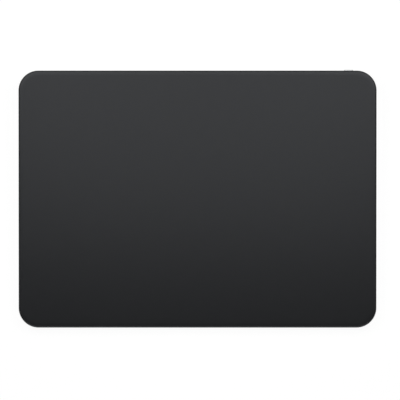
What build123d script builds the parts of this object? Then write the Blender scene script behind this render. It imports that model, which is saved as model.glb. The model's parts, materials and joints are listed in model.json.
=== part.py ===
from build123d import *
import os

# A wireless trackpad for a desk. A thin black glass plate floats over a wedge-shaped
# aluminium case, low at the front and high at the rear. The plate presses down on four
# steel flexures, and a magnetic drive nudges it sideways. The rear wall holds the
# charging port and, near its right end, the sliding power switch.
#
# Millimetres. X runs to the right, Y to the rear and Z up. The origin is on the desk,
# under the middle of the case.

# Overall size
overall_width = 160.0
overall_depth = 114.9
rear_height = 10.9
front_height = 4.9
corner_radius = 8.9
foot_stand = 0.9  # the case stands this far off the desk

# Touch plate, from the top down
glass_thickness = 1.1
glass_roll_width = 2.0  # the upper face rolls off over this width
glass_roll_drop = 0.1
glass_edge_radius = 0.3
glass_lower_chamfer = 0.1
bond_thickness = 0.1
touch_board_thickness = 0.6
touch_board_gap = 0.7  # to the case wall all round

# How far the plate moves, and what it must clear
press_travel = 0.25
press_clearance = 0.2
haptic_travel = 0.2
rim_clearance = 0.1  # left between the glass and the rim when the plate is pressed

# Case walls
side_wall = 1.6
rear_wall = 2.0
floor_thickness = 0.8
underside_radius = 1.5
rim_chamfer = 0.15
pocket_floor_radius = 0.5

# Shared small sizes
overrun = 2.0  # cuts run past what they cut by this much
lip = 0.8  # what is left of the rear wall in front of the port and the switch
screw_shaft = 1.4
screw_head = 2.6
screw_head_height = 0.4
screw_slot_length = 1.5
screw_slot_width = 0.3
screw_slot_depth = 0.22
thread_play = 0.1
screw_play = 0.3  # between a shaft and the hole that it passes through
ribbon_thickness = 0.15
fit_gap = 0.05  # between two still pieces that slide together at assembly

tapped_hole = screw_shaft + thread_play
clearance_hole = screw_shaft + screw_play
slope = (rear_height - front_height) / overall_depth
middle_height = (rear_height + front_height) / 2
rim_drop = glass_thickness + press_travel + rim_clearance
board_drop = glass_thickness + bond_thickness
ceiling_drop = board_drop + touch_board_thickness
floor_top = foot_stand + floor_thickness
rear_face = overall_depth / 2
pocket_rear = rear_face - rear_wall
pocket_front = side_wall - rear_face
pocket_half_width = overall_width / 2 - side_wall
pocket_shift = (side_wall - rear_wall) / 2
rear_rim_height = rear_height - rim_drop
port_height = (foot_stand + rear_rim_height) / 2  # the port and the switch are centred on the wall

standing = (Align.CENTER, Align.CENTER, Align.MIN)
corners = [("front", "left"), ("front", "right"), ("rear", "left"), ("rear", "right")]


def surface_height(y):
    """Height of the touch surface over the desk at depth y."""
    return middle_height + slope * y


def room_depth(height):
    """The depth from which a still piece of this height clears the pressed touch board."""
    return (height + press_travel + press_clearance + ceiling_drop - middle_height) / slope


def case_outline(inset):
    """The rounded plan outline of the case, drawn in by inset."""
    width = overall_width - 2 * inset
    depth = overall_depth - 2 * inset
    return RectangleRounded(width, depth, corner_radius - inset)


def pocket_outline(gap):
    """The plan outline of the case's pocket, drawn in by gap."""
    width = 2 * (pocket_half_width - gap)
    depth = pocket_rear - pocket_front - 2 * gap
    return Pos(0, pocket_shift) * RectangleRounded(width, depth, corner_radius - side_wall - gap)


def below_surface(drop):
    """Everything under the tilted plane that lies drop below the touch surface."""
    near = -rear_face - overrun
    far = rear_face + overrun
    profile = Polyline(
        (near, -overrun),
        (far, -overrun),
        (far, surface_height(far) - drop),
        (near, surface_height(near) - drop),
        close=True,
    )
    return extrude(make_face(Plane.YZ * profile), amount=overall_width / 2 + overrun, both=True)


def layer(sketch, upper_drop, lower_drop):
    """A plan outline filled between two planes parallel to the touch surface."""
    prism = extrude(sketch, amount=rear_height + overrun)
    return prism & (below_surface(upper_drop) - below_surface(lower_drop))


def broad_faces(plate):
    """The lower and the upper of a plate's two largest faces."""
    return plate.faces().sort_by(SortBy.AREA)[-2:].sort_by(Axis.Z)


def edges_at(plate, drop):
    """The edges that lie drop below the touch surface."""
    places = [(edge, edge.center()) for edge in plate.edges()]
    return [edge for edge, at in places if abs(surface_height(at.Y) - drop - at.Z) < fit_gap]


def block(x_low, x_high, y_low, y_high, z_low, z_high):
    """A box between two corners."""
    size = Box(x_high - x_low, y_high - y_low, z_high - z_low, align=(Align.MIN,) * 3)
    return Pos(x_low, y_low, z_low) * size


def post(x, y, z_low, z_high, diameter):
    """An upright cylinder."""
    return Pos(x, y, z_low) * Cylinder(diameter / 2, z_high - z_low, align=standing)


def facing_rear(x, y, z):
    """A sketch plane on a wall, whose extrusions run to the rear."""
    return Plane(origin=(x, y, z), x_dir=(1, 0, 0), z_dir=(0, 1, 0))


def screw(x, y, seat, depth):
    """A flat-headed screw whose head rests at height seat and whose shaft reaches depth below it."""
    head_top = seat + screw_head_height
    body = post(x, y, seat, head_top, screw_head) + post(x, y, seat - depth, seat, screw_shaft)
    slot_middle = Pos(x, y, head_top)
    slot_height = 2 * screw_slot_depth
    slots = Box(screw_slot_length, screw_slot_width, slot_height)
    slots += Box(screw_slot_width, screw_slot_length, slot_height)
    return body - slot_middle * slots


def ribbon(points, bends, width, across):
    """A flat cable swept along points, lying flat across the given direction."""
    path = FilletPolyline(*points, radius=bends)
    start = Plane(origin=path @ 0, x_dir=across, z_dir=path % 0)
    return sweep(start * Rectangle(width, ribbon_thickness), path=path)


def mirrored(shape):
    """The same shape on the left side."""
    return mirror(shape, about=Plane.YZ)


def on_side(shape, side):
    """A shape drawn on the right, put on the named side."""
    return shape if side == "right" else mirrored(shape)


def solids_of(*shapes):
    """Every solid in the given shapes, in one list."""
    return [solid for shape in shapes for solid in shape.solids()]


def save(name, *shapes):
    """Writes one node."""
    export_step(Compound(children=solids_of(*shapes)), f"parts/{name}.step")


# Feet
foot_diameter = 9.5
foot_well_depth = 0.3
foot_well_gap = 0.15
foot_edge_radius = 0.35
foot_from_side = 14.0
foot_from_end = 13.5


def foot_place(row):
    """The centre of a right-hand foot."""
    x = overall_width / 2 - foot_from_side
    y = rear_face - foot_from_end
    return x, y if row == "rear" else -y


def make_foot(row):
    """A rubber disc, glued into a shallow well in the underside."""
    x, y = foot_place(row)
    disc = post(x, y, 0, foot_stand + foot_well_depth, foot_diameter)
    return fillet(disc.faces().sort_by(Axis.Z)[0].edges(), foot_edge_radius)


# Power switch. The knob is shown at the right end of its slot.
switch_from_corner = 3.5  # from where the rear corner begins to curve, to the knob's middle
switch_travel = 3.0
knob_width = 4.0
knob_height = 1.8
knob_corner = 0.85
knob_proud = 0.4
knob_edge = 0.18
knob_end_gap = 0.2
slot_height = 2.2
slot_chamfer = 0.2
shutter_overlap = 0.3
shutter_height = 3.0
shutter_thickness = 0.4
shutter_gap = 0.1
mark_thickness = 0.06
mark_margin = 0.15
lever_width = 1.4
lever_height = 1.2
lever_depth = 1.5
switch_body_width = 7.6
switch_body_depth = 3.4
switch_body_height = 3.0
switch_body_gap = 0.4
switch_body_floor = 0.4
switch_board_thickness = 0.8
switch_board_front = 2.1
switch_post = 2.6
switch_post_from_end = 1.5

knob_x = overall_width / 2 - corner_radius - switch_from_corner
slot_width = knob_width + switch_travel + 2 * knob_end_gap
slot_x = knob_x - switch_travel / 2
shutter_width = slot_width + switch_travel + 2 * shutter_overlap - 2 * knob_end_gap
shutter_face = rear_face - lip - shutter_gap
shutter_back = shutter_face - shutter_thickness
switch_body_face = pocket_rear - switch_body_gap
switch_body_back = switch_body_face - switch_body_depth
switch_body_bottom = port_height - switch_body_height / 2
switch_board_bottom = switch_body_bottom - switch_board_thickness
switch_board_near = switch_body_back - switch_board_front
switch_screw_x = switch_body_width / 2 + fit_gap + screw_head / 2
switch_board_half = switch_screw_x + switch_post_from_end
switch_screws = [
    (slot_x + s * switch_screw_x, (switch_body_face + switch_body_back) / 2)
    for s in (-1, 1)
]


def make_knob():
    """The aluminium thumb piece, standing a little proud of the rear wall."""
    face = facing_rear(knob_x, shutter_face, port_height)
    knob = extrude(
        face * RectangleRounded(knob_width, knob_height, knob_corner),
        amount=rear_face + knob_proud - shutter_face,
    )
    return fillet(knob.faces().sort_by(Axis.Y)[-1].edges(), knob_edge)


def make_shutter():
    """The dust plate behind the slot, which slides with the knob and carries the lever."""
    back = facing_rear(knob_x, shutter_back, port_height)
    plate = extrude(back * Rectangle(shutter_width, shutter_height), amount=shutter_thickness)
    lever_start = facing_rear(knob_x, switch_body_face - lever_depth, port_height)
    reach = shutter_back - switch_body_face + lever_depth
    return plate + extrude(lever_start * Rectangle(lever_width, lever_height), amount=reach)


def make_on_mark():
    """The green film on the shutter that shows in the slot when the switch is on."""
    left = knob_x + knob_width / 2 + mark_margin
    right = knob_x + shutter_width / 2 - mark_margin
    half = shutter_height / 2 - mark_margin
    far = shutter_face + mark_thickness
    return block(left, right, shutter_face, far, port_height - half, port_height + half)


def make_switch_body():
    """The moulded case of the slide switch, with the slot that its lever runs in."""
    left = slot_x - switch_body_width / 2
    right = slot_x + switch_body_width / 2
    top = switch_body_bottom + switch_body_height
    body = block(left, right, switch_body_back, switch_body_face, switch_body_bottom, top)
    body = chamfer(body.edges().filter_by(Axis.Y), chip_edge)
    half = (lever_width + switch_travel) / 2 + knob_end_gap
    near = switch_body_face - lever_depth - switch_body_floor
    half_height = lever_height / 2 + shutter_gap
    low = port_height - half_height
    high = port_height + half_height
    return body - block(slot_x - half, slot_x + half, near, switch_body_face, low, high)


def make_switch_board():
    """The small board under the slide switch."""
    left = slot_x - switch_board_half
    right = slot_x + switch_board_half
    board = block(left, right, switch_board_near, switch_body_face, switch_board_bottom, switch_body_bottom)
    for x, y in switch_screws:
        board -= post(x, y, switch_board_bottom, switch_body_bottom, clearance_hole)
    return board


def make_switch_ribbon():
    """The switch's cable: under its board, down to the floor, and up under the logic board."""
    y = switch_board_near + switch_ribbon_width / 2
    half = ribbon_thickness / 2
    lie = floor_top + half
    switch_end = slot_x - switch_board_half
    logic_end = logic_width / 2
    return ribbon(
        [
            (switch_end + board_overlap, y, switch_board_bottom - half),
            (switch_end, y, switch_board_bottom - half),
            (switch_end - board_overlap, y, lie),
            (logic_end + board_overlap, y, lie),
            (logic_end, y, logic_bottom - half),
            (logic_end - edge_overlap, y, logic_bottom - half),
        ],
        ribbon_bend,
        switch_ribbon_width,
        (0, 1, 0),
    )


# Force flexures and what holds them
flexure_length = 24.0
flexure_width = 10.0
flexure_thickness = 0.35
flexure_corner = 1.0
flexure_lift = 0.45  # free height under the flexure
flexure_side_gap = 2.4
flexure_notch = 2.2
flexure_hole_from_end = 3.0
front_row_gap = 11.0
rear_row_gap = 1.55  # from the power switch's board
grommet_flange = 4.0
grommet_neck = 3.2
grommet_play = 0.2
grommet_flange_height = 0.2
flexure_boss = 3.6
force_ribbon_width = 1.6
force_ribbon_gap = 0.2  # to the two bosses that the ribbon runs between
flexure_thread_depth = 0.6
gauge_length = 6.0
gauge_width = 4.0
gauge_thickness = 0.1
standoff_length = 4.0
standoff_width = 6.0
standoff_from_tip = 1.0

grommet_bore = screw_shaft + grommet_play
flexure_hole_spacing = flexure_boss + force_ribbon_width + 2 * force_ribbon_gap
flexure_bottom = floor_top + flexure_lift
flexure_top = flexure_bottom + flexure_thickness
flexure_boss_top = flexure_bottom - grommet_flange_height
flexure_seat = flexure_top + grommet_flange_height
flexure_stack_top = flexure_seat + screw_head_height
flexure_outer = pocket_half_width - flexure_side_gap
flexure_inner = flexure_outer - flexure_length
flexure_hole_x = flexure_outer - flexure_hole_from_end
flexure_screw_reach = (flexure_hole_spacing + screw_head) / 2
front_row = max(pocket_front + front_row_gap, room_depth(flexure_stack_top) + flexure_screw_reach)
rear_row = switch_board_near - rear_row_gap - flexure_width / 2
row_depth = {"front": front_row, "rear": rear_row}


def flexure_holes(row):
    """The two screw places of a right-hand flexure."""
    return [(flexure_hole_x, row_depth[row] + s * flexure_hole_spacing / 2) for s in (-1, 1)]


def make_flexure(row):
    """A flat steel beam, screwed down at its outer end, waisted in the middle, free at its tip."""
    middle_x = (flexure_inner + flexure_outer) / 2
    beam = Pos(middle_x, row_depth[row]) * RectangleRounded(flexure_length, flexure_width, flexure_corner)
    for s in (-1, 1):
        beam -= Pos(middle_x, row_depth[row] + s * flexure_width / 2) * Circle(flexure_notch)
    for x, y in flexure_holes(row):
        beam -= Pos(x, y) * Circle(grommet_neck / 2)
    return extrude(Pos(0, 0, flexure_bottom) * beam, amount=flexure_thickness)


def make_gauge(row):
    """A strain gauge film on the waist of a flexure."""
    middle_x = (flexure_inner + flexure_outer) / 2
    film = Pos(middle_x, row_depth[row], flexure_top) * Rectangle(gauge_length, gauge_width)
    return extrude(film, amount=gauge_thickness)


def make_grommets(row):
    """Soft rings that clasp the flexure at each screw and let it shear sideways."""
    rings = []
    for x, y in flexure_holes(row):
        ring = post(x, y, flexure_boss_top, flexure_bottom, grommet_flange)
        ring += post(x, y, flexure_bottom, flexure_top, grommet_neck)
        ring += post(x, y, flexure_top, flexure_seat, grommet_flange)
        rings.append(ring - post(x, y, flexure_boss_top, flexure_seat, grommet_bore))
    return rings


def make_flexure_screws(row):
    """The two screws of a flexure, from above the grommets into the case."""
    depth = flexure_seat - flexure_boss_top + flexure_thread_depth
    return [screw(x, y, flexure_seat, depth) for x, y in flexure_holes(row)]


def make_standoff(row):
    """The block under the touch board that bears on a flexure's tip."""
    x = flexure_inner + standoff_from_tip + standoff_length / 2
    foot = Pos(x, row_depth[row], flexure_top) * Rectangle(standoff_length, standoff_width)
    return extrude(foot, amount=rear_height) & below_surface(ceiling_drop)


# Logic board
logic_thickness = 0.8
logic_corner = 1.0
logic_rear_gap = 0.5
logic_post = 3.2
logic_screw_inset = 2.5
logic_post_gap = 0.3  # from a corner post to a ribbon
post_thread_depth = 1.2

# Charging port
shell_width = 8.94
shell_height = 3.16
shell_wall = 0.3
shell_length = 6.8
shell_leg_width = 1.2
shell_leg_from_end = 1.4
shell_leg_gap = 0.45  # from the rear legs to the case wall
plug_width = 8.6  # opening in the wall
plug_height = 2.8
plug_chamfer = 0.25
tongue_base = 1.8
tongue_width = 6.69
tongue_height = 0.7
tongue_short = 0.6  # the tongue stops this far inside the mouth
contact_count = 12
contact_pitch = 0.5
contact_width = 0.25
contact_length = 3.0
contact_thickness = 0.05
clamp_sheet = 0.3
clamp_depth = 3.0
clamp_wing = 3.3
clamp_rear_gap = 0.95  # to the case wall

logic_top = port_height - shell_height / 2
logic_bottom = logic_top - logic_thickness
logic_rear = pocket_rear - logic_rear_gap
edge_overlap = logic_screw_inset - logic_post / 2 - logic_post_gap
shell_mouth = rear_face - lip - fit_gap
shell_back = shell_mouth - shell_length
clamp_inner = shell_width / 2 + fit_gap
clamp_outer = clamp_inner + clamp_sheet
clamp_middle = pocket_rear - clamp_rear_gap - clamp_depth / 2
clamp_screw_x = clamp_outer + clamp_wing / 2

# Parts on the logic board. Its right half holds, outwards from the port's clamp, the main
# chip, a column of smaller ones, a column of capacitors and the corner screws.
shield_width = 15.0
shield_depth = 10.5
shield_height = 1.4
shield_sheet = 0.2
shield_corner = 0.6
shield_from_side = 5.0
chip_edge = 0.1
chip_gap = 1.2
main_chip_size = 7.0
main_chip_height = 0.85
charger_chip_size = 4.0
charger_chip_height = 0.7
sensor_chip_size = 3.0
sensor_chip_height = 0.6
coil_size = 2.4
coil_height = 1.2
capacitor_length = 1.0
capacitor_width = 0.5
capacitor_height = 0.5
capacitor_pitch = 1.3
capacitor_count = 6
screw_aisle = 3.1
connector_depth = 2.2
connector_height = 1.0
touch_connector_width = 7.0
battery_connector_width = 5.0
antenna_socket = 1.8
connector_inset = 0.6
capacitor_gap = 0.45  # from the last capacitor to the connectors

chips_start = clamp_outer + clamp_wing + chip_gap
main_chip_x = chips_start + main_chip_size / 2
small_chip_x = chips_start + main_chip_size + chip_gap + charger_chip_size / 2
capacitor_x = small_chip_x + (charger_chip_size + chip_gap + capacitor_length) / 2
corner_screw_x = capacitor_x + capacitor_length / 2 + screw_aisle + screw_head / 2
logic_width = 2 * (corner_screw_x + logic_screw_inset)
capacitors_start = 2 * logic_screw_inset
capacitors_end = capacitors_start + (capacitor_count - 1) * capacitor_pitch + capacitor_width / 2
logic_depth = capacitors_end + capacitor_gap + connector_depth + connector_inset
logic_front = logic_rear - logic_depth
logic_middle = (logic_rear + logic_front) / 2
connector_y = logic_front + connector_inset + connector_depth / 2
battery_connector_x = (small_chip_x + capacitor_x) / 2
radio_shield_x = shield_from_side + shield_width / 2 - logic_width / 2
logic_screws = [
    (s * corner_screw_x, y)
    for s in (-1, 1)
    for y in (logic_front + logic_screw_inset, logic_rear - logic_screw_inset)
]
clamp_screws = [(s * clamp_screw_x, clamp_middle) for s in (-1, 1)]


def make_logic_board():
    """The main circuit board, on six posts behind the battery cells."""
    board = RectangleRounded(logic_width, logic_depth, logic_corner)
    board = Pos(0, logic_middle) * board
    for x, y in logic_screws + clamp_screws:
        board -= Pos(x, y) * Circle(clearance_hole / 2)
    return extrude(Pos(0, 0, logic_bottom) * board, amount=logic_thickness)


def make_port_shell():
    """The port's steel sleeve, open to the rear, with four solder legs."""
    back = facing_rear(0, shell_back, port_height)
    shell = extrude(back * SlotOverall(shell_width, shell_height), amount=shell_length)
    bore = SlotOverall(shell_width - 2 * shell_wall, shell_height - 2 * shell_wall)
    leg_inner = shell_width / 2 - shell_wall
    leg_outer = shell_width / 2
    for y in (shell_back + shell_leg_from_end, pocket_rear - shell_leg_gap - shell_leg_width):
        leg = block(leg_inner, leg_outer, y, y + shell_leg_width, logic_top, port_height)
        shell += leg + mirrored(leg)
    return shell - extrude(back * bore, amount=shell_length)


def make_port_tongue():
    """The plastic insulator: a base that closes the sleeve, and the thin tongue."""
    base = SlotOverall(
        shell_width - 2 * (shell_wall + fit_gap),
        shell_height - 2 * (shell_wall + fit_gap),
    )
    back = facing_rear(0, shell_back, port_height)
    tongue = extrude(back * base, amount=tongue_base)
    reach = shell_length - tongue_short
    return tongue + extrude(back * Rectangle(tongue_width, tongue_height), amount=reach)


def make_port_contacts():
    """Two rows of gold contacts, on the tongue's upper and lower faces."""
    start = shell_back + tongue_base + contact_width
    contacts = []
    for i in range(contact_count):
        x = (i - (contact_count - 1) / 2) * contact_pitch
        upper = port_height + tongue_height / 2
        lower = port_height - tongue_height / 2 - contact_thickness
        for z in (upper, lower):
            left = x - contact_width / 2
            right = x + contact_width / 2
            contacts.append(block(left, right, start, start + contact_length, z, z + contact_thickness))
    return contacts


def make_port_clamp():
    """A sheet steel strap that holds the port down on the logic board."""
    top = port_height + shell_height / 2 + fit_gap
    near = clamp_middle - clamp_depth / 2
    far = clamp_middle + clamp_depth / 2
    strap = block(-clamp_outer, clamp_outer, near, far, top, top + clamp_sheet)
    side = block(clamp_inner, clamp_outer, near, far, logic_top, top + clamp_sheet)
    wing_edge = clamp_outer + clamp_wing
    side += block(clamp_inner, wing_edge, near, far, logic_top, logic_top + clamp_sheet)
    strap += side + mirrored(side)
    for x, y in clamp_screws:
        strap -= post(x, y, logic_top, logic_top + clamp_sheet, clearance_hole)
    return strap


def chip(x, y, base, width, depth, height):
    """A moulded package with a broken top edge, centred at x, y."""
    body = Pos(x, y, base) * Box(width, depth, height, align=standing)
    return chamfer(body.faces().sort_by(Axis.Z)[-1].edges(), chip_edge)


def make_radio_shield():
    """A drawn steel can over the radio, open underneath."""
    outer = Pos(radio_shield_x, logic_middle) * RectangleRounded(shield_width, shield_depth, shield_corner)
    inner_width = shield_width - 2 * shield_sheet
    inner_depth = shield_depth - 2 * shield_sheet
    inner = RectangleRounded(inner_width, inner_depth, shield_corner - shield_sheet)
    inner = Pos(radio_shield_x, logic_middle) * inner
    can = extrude(Pos(0, 0, logic_top) * outer, amount=shield_height)
    can = fillet(can.faces().sort_by(Axis.Z)[-1].edges(), shield_sheet)
    return can - extrude(Pos(0, 0, logic_top) * inner, amount=shield_height - shield_sheet)


def make_logic_chips():
    """Packages on the logic board: controller, charger, sensor, radio, two coils and capacitors."""
    rear = logic_rear - chip_gap
    sensor_y = rear - charger_chip_size - chip_gap - sensor_chip_size / 2
    square_chips = [
        (main_chip_x, rear - main_chip_size / 2, main_chip_size, main_chip_height),
        (small_chip_x, rear - charger_chip_size / 2, charger_chip_size, charger_chip_height),
        (small_chip_x, sensor_y, sensor_chip_size, sensor_chip_height),
        (radio_shield_x, logic_middle, sensor_chip_size, sensor_chip_height),
    ]
    coil_y = rear - main_chip_size - (chip_gap + coil_size) / 2
    for s in (-1, 1):
        square_chips.append((main_chip_x + s * (coil_size + chip_gap) / 2, coil_y, coil_size, coil_height))
    chips = [chip(x, y, logic_top, size, size, height) for x, y, size, height in square_chips]
    for i in range(capacitor_count):
        y = logic_rear - capacitors_start - i * capacitor_pitch
        bit = Pos(capacitor_x, y, logic_top)
        chips.append(bit * Box(capacitor_length, capacitor_width, capacitor_height, align=standing))
    return chips


def make_connectors():
    """Ribbon connectors for the touch board and the battery, and the aerial's round socket."""
    return [
        chip(0, connector_y, logic_top, touch_connector_width, connector_depth, connector_height),
        chip(
            battery_connector_x,
            connector_y,
            logic_top,
            battery_connector_width,
            connector_depth,
            connector_height,
        ),
        post(-corner_screw_x, logic_middle, logic_top, logic_top + connector_height, antenna_socket),
    ]


# Battery
cell_thickness = 3.4
cell_edge_radius = 0.7
cell_side_gap = 5.4
cell_gap = 1.5
tape_thickness = 0.15
tape_width = 8.0
tape_count = 3
terrace_depth = 3.0
terrace_thickness = 0.4
guard_width = 20.0
guard_depth = 2.6
guard_thickness = 0.6
guard_from_inner = 2.0
battery_ribbon_width = 1.8
battery_tail_width = 4.0
fence_gap = 0.4
fence_width = 0.8
fence_height = 1.2

# Haptic drive
haptic_length = 24.0
haptic_half_width = 14.0
bracket_sheet = 0.3
bracket_half_width = 10.0
ear_length = 4.0
ear_width = 4.5
ear_lift = 1.2
ear_boss = 3.2
pole_count = 3
pole_pitch = 8.6
pole_width = 3.6
pole_length = 4.6
core_height = 1.6
spine_thickness = 2.4
pole_clearance = 0.2  # left between armature and pole when the plate is shifted
winding = 0.7  # coil build beside the pole
winding_cap = 0.4  # coil build above and under the pole
coil_length = 3.8
armature_half_width = 1.5
armature_flange_half_width = 5.0
armature_flange = 0.4

cell_bottom = floor_top + tape_thickness
cell_top = cell_bottom + cell_thickness
cell_front = room_depth(cell_top)
cell_rear = min(rear_row - flexure_width / 2, logic_front) - cell_gap
cell_inner = haptic_half_width + cell_gap
cell_outer = pocket_half_width - cell_side_gap
guard_base = cell_bottom + (cell_thickness + terrace_thickness) / 2
guard_top = guard_base + guard_thickness
guard_y = cell_rear - terrace_depth / 2

bracket_top = floor_top + bracket_sheet
coil_top = bracket_top + core_height + 2 * winding_cap
core_bottom = bracket_top + winding_cap
flange_bottom = coil_top + press_travel + press_clearance
haptic_front_limit = room_depth(flange_bottom + armature_flange)
haptic_y = (haptic_front_limit + logic_front) / 2
pole_face = armature_half_width + haptic_travel + pole_clearance
spine_inner = pole_face + pole_length
spine_outer = spine_inner + spine_thickness
coil_inner = pole_face + (pole_length - coil_length) / 2
ear_top = floor_top + ear_lift
haptic_screws = [
    (sx * (bracket_half_width - ear_width / 2), haptic_y + sy * (haptic_length + ear_length) / 2)
    for sx in (-1, 1)
    for sy in (-1, 1)
]


def make_cell():
    """A right-hand pouch cell, with the flat sealed terrace along its rear edge."""
    body = block(cell_inner, cell_outer, cell_front, cell_rear - terrace_depth, cell_bottom, cell_top)
    body = fillet(body.edges(), cell_edge_radius)
    low = guard_base - terrace_thickness
    seam = cell_rear - terrace_depth - cell_edge_radius
    left = cell_inner + cell_edge_radius
    right = cell_outer - cell_edge_radius
    return body + block(left, right, seam, cell_rear, low, guard_base)


def make_cell_tapes():
    """Strips of tape that hold a cell to the floor."""
    near = cell_front + cell_edge_radius
    far = cell_rear - terrace_depth - cell_edge_radius
    pitch = (cell_outer - cell_inner) / tape_count
    tapes = []
    for i in range(tape_count):
        x = cell_inner + (i + 1 / 2) * pitch
        tapes.append(block(x - tape_width / 2, x + tape_width / 2, near, far, floor_top, cell_bottom))
    return tapes


def make_guard_board():
    """A cell's protection circuit, lying on its terrace."""
    left = cell_inner + guard_from_inner
    x = left + guard_width / 2
    return chip(x, guard_y, guard_base, guard_width, guard_depth, guard_thickness)


def make_battery_ribbon():
    """The flat cable over both protection boards, with a tail to the logic board."""
    right = cell_inner + guard_from_inner + guard_width
    near = guard_y - battery_ribbon_width / 2
    far = guard_y + battery_ribbon_width / 2
    band = block(-right, right, near, far, guard_top, guard_top + ribbon_thickness)
    low = guard_top + ribbon_thickness / 2
    high = logic_top + connector_height + ribbon_thickness / 2
    run = (connector_y - guard_y) / 3
    tail = ribbon(
        [
            (battery_connector_x, guard_y, low),
            (battery_connector_x, guard_y + run, low),
            (battery_connector_x, connector_y - run, high),
            (battery_connector_x, connector_y + connector_depth / 2, high),
        ],
        ribbon_thickness * 2,
        battery_tail_width,
        (1, 0, 0),
    )
    return band + tail


def make_haptic_bracket():
    """The sheet steel tray of the haptic drive, with four raised screw ears and two core rails."""
    half = haptic_length / 2
    near = haptic_y - half
    far = haptic_y + half
    tray = block(-bracket_half_width, bracket_half_width, near, far, floor_top, bracket_top)
    for x, y in haptic_screws:
        side = 1 if y > haptic_y else -1
        edge = haptic_y + side * half
        wall = sorted((edge, edge - side * bracket_sheet))
        left = x - ear_width / 2
        right = x + ear_width / 2
        tray += block(left, right, *wall, floor_top, ear_top + bracket_sheet)
        reach = sorted((edge, edge + side * ear_length))
        ear = block(left, right, *reach, ear_top, ear_top + bracket_sheet)
        tray += ear - post(x, y, ear_top, ear_top + bracket_sheet, clearance_hole)
    core_half = core_half_length()
    rail = block(
        spine_inner,
        spine_outer,
        haptic_y - core_half,
        haptic_y + core_half,
        bracket_top,
        core_bottom,
    )
    return tray + rail + mirrored(rail)


def core_half_length():
    """Half the length of a core along Y."""
    return ((pole_count - 1) * pole_pitch + pole_width) / 2


def pole_places():
    """The depth of each pole's middle."""
    return [haptic_y + (i - (pole_count - 1) / 2) * pole_pitch for i in range(pole_count)]


def make_core():
    """A right-hand comb of laminated iron: a spine with poles that face the armature."""
    half = core_half_length()
    top = core_bottom + core_height
    comb = block(spine_inner, spine_outer, haptic_y - half, haptic_y + half, core_bottom, top)
    for y in pole_places():
        comb += block(pole_face, spine_inner, y - pole_width / 2, y + pole_width / 2, core_bottom, top)
    return comb


def make_coils():
    """The right-hand coils, one round each pole."""
    coils = []
    for y in pole_places():
        start = Plane(origin=(coil_inner, y, core_bottom + core_height / 2), x_dir=(0, 1, 0), z_dir=(1, 0, 0))
        outer = RectangleRounded(pole_width + 2 * winding, core_height + 2 * winding_cap, winding_cap)
        inner = Rectangle(pole_width + 2 * fit_gap, core_height + 2 * fit_gap)
        coils.append(extrude(start * (outer - inner), amount=coil_length))
    return coils


def make_armature():
    """The iron bar between the two combs, with the flange that is bonded under the touch board."""
    half = core_half_length()
    low = bracket_top + press_travel + press_clearance
    web = Pos(0, haptic_y, low) * Rectangle(2 * armature_half_width, 2 * half)
    flange = Pos(0, haptic_y, flange_bottom) * Rectangle(2 * armature_flange_half_width, 2 * half)
    bar = extrude(web, amount=rear_height) + extrude(flange, amount=rear_height)
    return bar & below_surface(ceiling_drop)


# Ribbons on the case floor
haptic_ribbon_width = 4.0
board_overlap = 2.0  # how far a ribbon reaches under a board
force_ribbon_from_wall = 1.0
switch_ribbon_width = 1.5
ribbon_bend = 0.5
touch_ribbon_width = 6.0
touch_ribbon_bend = 0.9
touch_loop = 4.2
touch_tail = 3.4
touch_plug_depth = 2.0


def make_haptic_ribbon():
    """The drive's cable: along the floor, then up to the underside of the logic board."""
    half = haptic_ribbon_width / 2
    near = haptic_y + haptic_length / 2
    far = logic_front + board_overlap
    flat = block(-half, half, near, far, floor_top, floor_top + ribbon_thickness)
    return flat + block(-half, half, far - ribbon_thickness, far, floor_top, logic_bottom)


def make_force_ribbon():
    """The right-hand strain gauge cable, along the side wall and in to the logic board."""
    outer = pocket_half_width - force_ribbon_from_wall
    inner = outer - force_ribbon_width
    top = floor_top + ribbon_thickness
    half = force_ribbon_width / 2
    along = block(inner, outer, front_row - half, rear_row + half, floor_top, top)
    end = logic_width / 2 - edge_overlap
    across = block(end, outer, rear_row - half, rear_row + half, floor_top, top)
    rise = block(end, end + ribbon_thickness, rear_row - half, rear_row + half, floor_top, logic_bottom)
    return along + across + rise


def make_touch_ribbon():
    """The slack loop that joins the moving touch board to the logic board."""
    low = logic_top + connector_height + ribbon_thickness / 2
    front = connector_y - touch_loop
    high = surface_height(front) - ceiling_drop - touch_plug_depth * slope - ribbon_thickness
    rear = front + touch_tail
    return ribbon(
        [(0, connector_y + connector_depth / 2, low), (0, front, low), (0, front, high), (0, rear, high)],
        touch_ribbon_bend,
        touch_ribbon_width,
        (1, 0, 0),
    )


# Aerial
antenna_width = 14.0
antenna_depth = 4.0
antenna_rise = 5.0
antenna_from_corner = 2.0
antenna_corner = 0.5
antenna_rear_gap = 0.8
trace_thickness = 0.1
trace_margin = 0.7
trace_slot = 0.6
lead_diameter = 0.8
lead_bend = 5.0
lead_lift = 1.4

antenna_right = corner_radius + antenna_from_corner + antenna_width - overall_width / 2
antenna_left = antenna_right - antenna_width
antenna_far = pocket_rear - antenna_rear_gap
antenna_near = antenna_far - antenna_depth
antenna_top = floor_top + antenna_rise


def make_antenna_carrier():
    """The plastic block that lifts the aerial towards the gap under the glass."""
    carrier = block(antenna_left, antenna_right, antenna_near, antenna_far, floor_top, antenna_top)
    return fillet(carrier.edges().filter_by(Axis.Z), antenna_corner)


def make_antenna_trace():
    """The folded copper aerial on top of its carrier."""
    left = antenna_left + trace_margin
    right = antenna_right - trace_margin
    near = antenna_near + trace_margin
    far = antenna_far - trace_margin
    top = antenna_top + trace_thickness
    trace = block(left, right, near, far, antenna_top, top)
    middle = (near + far) / 2
    slot_near = middle - trace_slot / 2
    slot_far = middle + trace_slot / 2
    return trace - block(left + trace_margin, right, slot_near, slot_far, antenna_top, top)


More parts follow.
